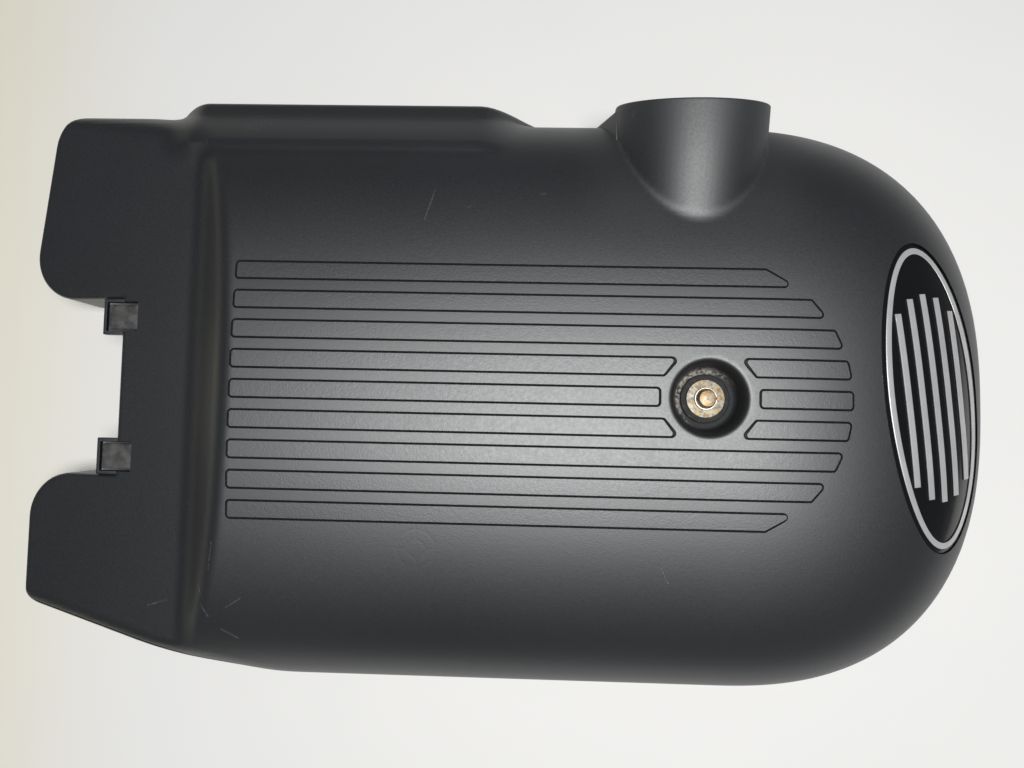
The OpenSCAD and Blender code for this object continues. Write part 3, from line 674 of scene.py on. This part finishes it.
def charcoal(name, tone, grain, depth):
    """The shell's grained plastic, with its wear; grain is the noise's scale."""
    def colour(places):
        plan = from_bolt(places)
        cloud = places.noise(11, 3).step(0.35, 0.7)
        speck = places.noise(grain, 2).step(0.42, 0.72)
        body = (cloud * 0.3 + speck * 0.7).mix(grey(0.0065 * tone, -0.22), grey(0.012 * tone, -0.2))
        scratch = scratched(plan) * places.noise(900, 2).step(0.35, 0.6)
        scuff = in_spots(plan, scuffs, 0) * places.noise(420, 4).step(0.52, 0.68)
        rub = in_spots(plan, rubs, 0.3) * places.noise(200, 3).step(0.4, 0.55)
        mote = places.noise(2600, 0).step(0.845, 0.865)
        heap = from_point(plan, *dust_middle).step(0.0170, 0.0200)
        dust = heap * on_floor(places, 0.008) * places.noise(500, 4).step(0.36, 0.6)
        spot = from_point(plan, *dark_spot).step(0.0021, 0.0017)
        for mask, shade in ((scratch * 0.45, grey(0.13)), (scuff * 0.5, grey(0.09, 0.03)),
                            (rub * 0.7, grey(0.008)), (mote * 0.6, grey(0.14)), (dust, grey(0.24, 0.12)),
                            (spot, grey(0.003))):
            body = mask.mix(body, shade)
        return body

    def roughness(places):
        plan = from_bolt(places)
        across = plan.part(1)
        hump = (plan.part(0) - duct_x).size().step(0.085, 0.045) * across.step(0.095, 0.135)
        matt = hump * (across.step(0.135, 0.190) * 0.10 + 0.08)
        blotches = places.noise(grain * 0.5, 2) * 0.1 + places.noise(9, 2) * 0.04
        return 0.38 + blotches + on_floor(places, 0.006) * 0.5 + matt

    def bump(places):
        """The grain, the scratches, and the sink marks over the posts, their webs and the ribs."""
        plan = from_bolt(places)
        along, across = plan.part(0), plan.part(1)
        grains = places.noise(grain, 2) * depth + places.noise(grain * 0.33, 1) * (depth * 0.4)
        sinks = []
        for x, y in post_places:
            away = from_point(plan, x, y)
            inside = away.step(post_r - 0.001, post_r - 0.003) * away.step(post_bore_r, post_bore_r + 0.002)
            sinks += [(away - r).size().step(sink_w, 0) for r in (bore_mid_r, post_mid_r)]
            sinks += [offset.size().step(web_sink_w, 0) * inside for offset in (along - x, across - y)]
        reach = across.size()
        ends = reach.step(rib_reach, rib_sink_end) * reach.step(rib_sink_start - 0.003, rib_sink_start)
        sinks.append(along.size().step(sink_w, 0) * ends)
        top = places.part(2).step(floor_z + 0.004, floor_z + 0.008)
        return grains - most(sinks) * top * 0.016 - scratched(plan) * 0.06

    return material(name, colour, roughness, bump=bump, IOR=1.6, Specular_IOR_Level=1.0)


cover.data.materials.clear()
cover.data.materials.append(charcoal("charcoal_grain", 1.0, 1300, 0.05))
cover.data.materials.append(charcoal("charcoal_bar_grain", 1.35, 900, 0.07))


def in_bar(x, y):
    """Whether a place lies on the coarser face of a bar, inside its groove."""
    k = round(y / bar_pitch)
    across = abs(y - k * bar_pitch) < (bar_w - groove_w) / 2
    away = hypot(x, y)
    along = -bar_back < x and away > bar_clear_r and (x < 0 or away < bar_end_r)
    return abs(k) <= bars_each_side and across and along


def smooth(piece, angle=35):
    piece.data.shade_smooth()
    piece.data.set_sharp_from_angle(angle=radians(angle))


for face in cover.data.polygons:
    centre = face.center
    face.material_index = int(face.normal.z > 0.7 and centre.z > 0.08
                              and in_bar(centre.x - bolt_x, centre.y - bolt_y))
smooth(cover)
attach(cover, "root")
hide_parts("cover")


# Badge plate: a gloss black oval of thin moulded plastic, glued into a recess on the nose's slope.
# It follows the slope's curve, and its edge is rounded over.
glue_t, plate_t, plate_gap = 0.0002, 0.0012, 0.0004
plate_foot = glue_t - badge_recess
plate_top = plate_foot + plate_t
plate = oval_slab(plate_gap, plate_foot, plate_top, 40)
rim_edges = [e for e in plate.edges if e.calc_face_angle(0) > 1]
bmesh.ops.bevel(plate, geom=rim_edges, offset=0.0003, segments=3, profile=0.5, affect="EDGES", material=-1)
badge_plate = place(plate, "badge_black_plate")
badge_plate.data.materials.append(material(
    "gloss_black", lambda p: p.noise(30, 3).mix(grey(0.004), grey(0.007)),
    lambda p: 0.16 + p.noise(260, 3) * 0.12, bump=lambda p: p.noise(120, 2) * 0.02, Coat_Weight=0.5))
smooth(badge_plate)
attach(badge_plate, "root")
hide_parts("badge_plate")


# Badge ring: a bright satin band along the edge of the plate, of foil over moulded plastic.
# It is a plain design of this part's own, and it is glued down on the plate.
trim_t, ring_in, ring_w = 0.0008, 0.003, 0.004
trim_foot, trim_edge = plate_top + glue_t, plate_gap + ring_in
satin = material(
    "satin_silver", lambda p: p.noise(90, 4).mix(grey(0.46, -0.01), grey(0.62, 0.01)),
    lambda p: 0.30 + p.noise(700, 3, (1, 0.1, 1)) * 0.16, 0.35,
    bump=lambda p: p.noise(1500, 2, (1, 0.08, 1)) * 0.02)
band = bmesh.new()
ring_steps = 160
ring_profile = ((0, 0), (0, 0.7), (0.06, 0.93), (0.14, 1), (0.5, 1), (0.86, 1), (0.94, 0.93), (1, 0.7),
                (1, 0))
for share, rise in ring_profile:
    made = bmesh.ops.create_circle(band, cap_ends=False, segments=ring_steps, radius=1)["verts"]
    inset = trim_edge + ring_w * share
    for v in made:
        v.co.x, v.co.y = on_badge((badge_half_w - inset) * v.co.x, (badge_half_l - inset) * v.co.y)
    lift(made, lambda x, y: skin(x, y) + trim_foot + trim_t * rise)
loops = [band.edges[i * ring_steps:(i + 1) * ring_steps] for i in range(len(ring_profile))]
for one, other in zip(loops, loops[1:] + loops[:1]):
    bmesh.ops.bridge_loops(band, edges=[*one, *other])
bmesh.ops.recalc_face_normals(band, faces=band.faces)
badge_ring = place(band, "badge_bright_ring")
badge_ring.data.materials.append(satin)
smooth(badge_ring)
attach(badge_ring, "root")
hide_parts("badge_ring")


# Badge slats: five bright satin bars inside the ring, each glued down on the plate.
# They are a plain design of this part's own, with their long edges rounded over.
slat_pitch, slat_w, slat_half_l, slat_taper = 0.010, 0.0044, 0.066, 1.1
slats = bmesh.new()
for k in range(-2, 3):
    half = slat_half_l * sqrt(1 - (k * slat_pitch / badge_half_w) ** 2 * slat_taper)
    made = bmesh.ops.create_grid(slats, x_segments=4, y_segments=40, size=1)["verts"]
    for v in made:
        v.co.x, v.co.y = on_badge(k * slat_pitch + slat_w / 2 * v.co.x, half * v.co.y)
foot, top = slats.verts[:], thicken(slats, slats.faces[:])
lift(foot, lambda x, y: skin(x, y) + trim_foot)
lift(top, lambda x, y: skin(x, y) + trim_foot + trim_t)
bmesh.ops.recalc_face_normals(slats, faces=slats.faces)
high = set(top)
top_edges = [e for e in slats.edges if high.issuperset(e.verts) and e.calc_face_angle(0) > 1]
bmesh.ops.bevel(slats, geom=top_edges, offset=0.00035, segments=3, profile=0.5, affect="EDGES", material=-1)
badge_slats = place(slats, "badge_bright_slats")
badge_slats.data.materials.append(satin)
smooth(badge_slats)
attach(badge_slats, "root")
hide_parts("badge_slats")


# Grommet: a moulded black rubber ring in the hole of the well's floor, with a flange above and below.
# It takes up shake between the shell and the bolt, and its top edge is rounded.
grommet_r, grommet_t, grommet_gap, bead = 0.0155, 0.0024, 0.0002, 0.0009
sleeve_wall, bolt_r, bolt_gap, film = 0.0016, 0.003, 0.0003, 0.00001
washer_z = floor_z + grommet_t
sleeve_r, neck_r = bolt_r + bolt_gap + sleeve_wall, well_hole_r - grommet_gap
sleeve_foot_z = floor_z - wall - grommet_t


def rounded_corner(r, z, radius, start):
    """Points of a quarter round in a profile about a middle at r and z, from a start angle in degrees."""
    angles = [radians(start + a) for a in range(0, 91, 15)]
    return [(r + radius * cos(a), z + radius * sin(a)) for a in angles]


grommet = place(turned([
    (sleeve_r + grommet_gap, sleeve_foot_z), (neck_r + grommet_t, sleeve_foot_z),
    (neck_r + grommet_t, floor_z - wall - film), (neck_r, floor_z - wall - film), (neck_r, floor_z + film),
    (grommet_r, floor_z + film), *rounded_corner(grommet_r - bead, washer_z - bead, bead, 0),
    (sleeve_r + grommet_gap, washer_z)]), "grommet_ring")
grommet.data.materials.append(material(
    "black_rubber", lambda p: p.noise(300, 3).step(0.5, 0.75).mix(grey(0.008), grey(0.030, 0.12)),
    lambda p: 0.62 + p.noise(400, 2) * 0.2, bump=lambda p: p.noise(900, 2) * 0.05))
smooth(grommet)
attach(grommet, "root")
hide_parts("grommet")


# Sleeve: a short steel tube inside the grommet, cut from tube and zinc plated. It stops the bolt
# from crushing the rubber, and its plain CAD shape stays.
zinc = material(
    "zinc_steel", lambda p: p.noise(160, 4).step(0.35, 0.7).mix(grey(0.42, 0.02), grey(0.60, 0.0)),
    lambda p: 0.34 + p.noise(500, 3) * 0.2, 1.0, bump=lambda p: p.noise(1200, 2) * 0.03)
bpy.data.objects["sleeve"].data.materials.clear()
bpy.data.objects["sleeve"].data.materials.append(zinc)


# Washer: a large stamped steel washer with worn yellow zinc plating, loose under the bolt's head.
# Its plating is mottled gold and silver, with a little brown in it, and its edges are worn round.
washer_r, washer_t, washer_edge = 0.012, 0.0016, 0.0003
flange_z = washer_z + washer_t


def worn_gold(places):
    """Worn yellow plating: gold and silver blotches, with brown spots."""
    gold = places.noise(210, 5).step(0.40, 0.60)
    base = gold.mix((0.27, 0.255, 0.22, 1), (0.30, 0.235, 0.14, 1))
    shade = places.noise(520, 4).step(0.42, 0.66)
    base = (shade * 0.7).mix(base, (0.10, 0.085, 0.065, 1))
    brown = places.noise(380, 3).step(0.62, 0.74)
    return (brown * 0.7).mix(base, (0.11, 0.065, 0.03, 1))


washer = place(turned([
    (bolt_r + bolt_gap, washer_z), (washer_r, washer_z),
    *rounded_corner(washer_r - washer_edge, flange_z - washer_edge, washer_edge, 0),
    (bolt_r + bolt_gap, flange_z)]), "washer_ring")
washer.data.materials.append(material(
    "worn_zinc", worn_gold, lambda p: 0.42 + p.noise(600, 3) * 0.22, 0.9,
    bump=lambda p: p.noise(700, 4) * 0.12))
smooth(washer)
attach(washer, "root")
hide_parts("washer")


# Bolt: a cold-headed steel hexagon bolt with a flange, yellow zinc plated, and rolled M6 thread.
# Its head is chamfered, its flange has a raised rim with a pale painted highlight along it, and light rust
# has begun on the top.
bolt_l, hex_af, hex_h, flange_r, flange_t, thread_l = 0.068, 0.010, 0.0055, 0.0072, 0.0015, 0.040
thread_root, thread_crest, thread_pitch, rim_bead = 0.00255, 0.00295, 0.001, 0.0004
head_z, bolt_foot_z = flange_z + flange_t, flange_z - bolt_l
head_top = head_z + hex_h
hexagon = bmesh.new()
hex_depth, hex_r = hex_h + rim_bead, hex_af / sqrt(3)
bmesh.ops.create_cone(hexagon, cap_ends=True, segments=6, radius1=hex_r, radius2=hex_r, depth=hex_depth,
                      matrix=Matrix.Translation((0, 0, head_top - hex_depth / 2))
                      @ Matrix.Rotation(radians(30), 4, "Z"))
dome_r, dome_foot = 0.0066, head_z - rim_bead - 0.001
chamfer = ((dome_r, 0.0011), (0.0057, 0.0005), (0.0051, 0.0001), (0.0048, 0))
dome = turned([(0, dome_foot), (dome_r, dome_foot), *((r, head_top - drop) for r, drop in chamfer),
               (0, head_top)])
hexagon = join(place(hexagon, "hexagon"), place(dome, "dome"), "INTERSECT")
tip = 0.0006
shank = turned([
    (0, bolt_foot_z), (thread_root - tip, bolt_foot_z), (thread_root, bolt_foot_z + tip),
    (thread_root, bolt_foot_z + thread_l - tip), (bolt_r, bolt_foot_z + thread_l), (bolt_r, flange_z),
    (flange_r - 0.0002, flange_z), (flange_r, flange_z + 0.0003), (flange_r, head_z - 0.0004),
    (flange_r - 0.0003, head_z - 0.00003), (flange_r - 0.0008, head_z), (flange_r - 0.0013, head_z - 0.0005),
    (hex_af / 2 + tip, head_z - 0.0004), (hex_af / 2, head_z), (0, head_z)])
bolt = join(place(shank, "bolt_shank"), hexagon, "UNION")
thread = bmesh.new()
thread_foot, tooth_root, thread_steps = 2 * tip, thread_root - 0.0002, 24
half_pitch, half_crest = 0.0005, 0.00006
tooth = ((tooth_root, -half_pitch), (thread_crest, -half_crest), (thread_crest, half_crest),
         (tooth_root, half_pitch))
start_face = thread.faces.new([thread.verts.new((r, 0, bolt_foot_z + thread_foot + z)) for r, z in tooth])
turns = int((thread_l - 0.003) / thread_pitch)
bmesh.ops.spin(thread, geom=[start_face], angle=2 * pi * turns, steps=thread_steps * turns, axis=(0, 0, 1),
               cent=(0, 0, 0), dvec=(0, 0, thread_pitch / thread_steps))
bmesh.ops.recalc_face_normals(thread, faces=thread.faces)
thread_piece = place(thread, "bolt_thread")
whole = bmesh.new()
whole.from_mesh(bolt.data)
whole.from_mesh(thread_piece.data)
whole.to_mesh(bolt.data)
whole.free()
bpy.data.objects.remove(thread_piece)


# Worn gold plating with rust on the head's top, and a painted highlight on the flange's rim.
def rusty_gold_and_highlight(places):
    base = worn_gold(places)
    top = places.part(2).step(head_top - 0.0006, head_top - 0.0002)
    rust = places.noise(330, 4).step(0.36, 0.62)
    base = (top * rust * 0.75).mix(base, (0.30, 0.17, 0.07, 1))
    # Painted highlight: the flange's outer band is painted pale where its rim catches the light.
    rim = from_point(from_bolt(places), 0, 0).step(flange_r - 0.0014, flange_r - 0.0010)
    return (rim * 0.85).mix(base, (0.55, 0.52, 0.46, 1))


bolt.data.materials.clear()
bolt.data.materials.append(material(
    "gold_zinc_rusted_painted_highlight", rusty_gold_and_highlight, lambda p: 0.34 + p.noise(500, 3) * 0.24, 0.9,
    bump=lambda p: p.noise(800, 4) * 0.10))
smooth(bolt)
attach(bolt, "root")
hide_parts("bolt")


# Retainer: a thin push-on ring of spring steel on the shank, under the sleeve. It keeps the bolt
# with the cover when the cover is lifted off, and its plain CAD shape stays.
bpy.data.objects["retainer"].data.materials.clear()
bpy.data.objects["retainer"].data.materials.append(zinc)


# Pads: two blocks of grey rubber pressed into the hook pockets, wrinkled with age.
# Their outlines have shrunk unevenly, so a dark wavy gap shows along each side.
pad_t, pad_gap = 0.0036, 0.0012
pad_grey = material(
    "aged_grey_rubber", lambda p: p.noise(160, 4).step(0.3, 0.7).mix(grey(0.034, 0.04), grey(0.082, 0.03)),
    lambda p: 0.62 + p.noise(300, 2) * 0.2, bump=lambda p: p.noise(260, 4, (1, 2.2, 1)) * 0.35)
for name, low in zip(("pad_upper", "pad_lower"), pocket_lows):
    pad = bmesh.new()
    bmesh.ops.create_grid(pad, x_segments=30, y_segments=28, size=1)
    inset = pocket_wall + pad_gap
    size_x, size_y = pocket_l / 2 - inset, pocket_w / 2 - inset
    mid_x, mid_y = pocket_x + pocket_l / 2, low + pocket_w / 2
    raised = set(thicken(pad, pad.faces[:]))
    for v in pad.verts:
        a, b = v.co.x, v.co.y
        wave = noise.noise(Vector((a * 1.6, low * 90, 3.0)))
        ripple = noise.noise(Vector((a * 2.2, b * 3.4, low * 200)))
        edge = max(abs(a), abs(b)) ** 8
        v.co.x = mid_x + size_x * a * (1 - 0.03 * abs(ripple))
        v.co.y = mid_y + size_y * b * (0.95 + 0.05 * wave - 0.03 * abs(ripple))
        v.co.z = pocket_z + (pad_t * (0.90 + 0.09 * ripple - 0.22 * edge) if v in raised else 0)
    bmesh.ops.recalc_face_normals(pad, faces=pad.faces)
    piece = place(pad, name + "_rubber")
    piece.data.materials.append(pad_grey)
    smooth(piece, 50)
    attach(piece, "root")
    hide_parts(name)


# Table: a pale painted board, a little warmer towards its left side, that the cover rests on.
board, table_half = bmesh.new(), 3
bmesh.ops.create_grid(board, x_segments=1, y_segments=1, size=table_half)
mesh = bpy.data.meshes.new("table")
board.to_mesh(mesh)
board.free()
table = bpy.data.objects.new("table", mesh)
bpy.context.scene.collection.objects.link(table)


def table_colour(places):
    warm = places.part(0).step(-0.25, -0.42)
    stain = places.noise(5, 3).step(0.4, 0.7)
    base = (stain * 0.4).mix((0.80, 0.79, 0.765, 1), (0.77, 0.765, 0.745, 1))
    return (warm * 0.8).mix(base, (0.78, 0.73, 0.58, 1))


table.data.materials.append(material("pale_table", table_colour, 0.6))

# Light: a broad ceiling lamp almost over the camera, in a pale room that is much dimmer.
world = bpy.data.worlds.new("room")
world.use_nodes = True
world.node_tree.nodes["Background"].inputs["Color"].default_value = (0.84, 0.94, 1.1, 1)
world.node_tree.nodes["Background"].inputs["Strength"].default_value = 0.07
bpy.context.scene.world = world
lamp_data = bpy.data.lights.new("ceiling_lamp", "AREA")
lamp_data.shape, lamp_data.size, lamp_data.size_y, lamp_data.energy = "RECTANGLE", 1.2, 0.7, 40
lamp = bpy.data.objects.new("ceiling_lamp", lamp_data)
lamp.location = (0.21, -0.12, 1.9)
bpy.context.scene.collection.objects.link(lamp)

eye = bpy.data.cameras.new("eye")
eye.lens, eye.sensor_width = 27, 36
camera = bpy.data.objects.new("eye", eye)
camera.location = (0.02457, -0.02387, 0.567)
camera.rotation_euler = (0.0554, 0.0292, 0.0226)
bpy.context.scene.collection.objects.link(camera)
bpy.context.scene.camera = camera
bpy.context.scene.view_settings.view_transform = "Standard"
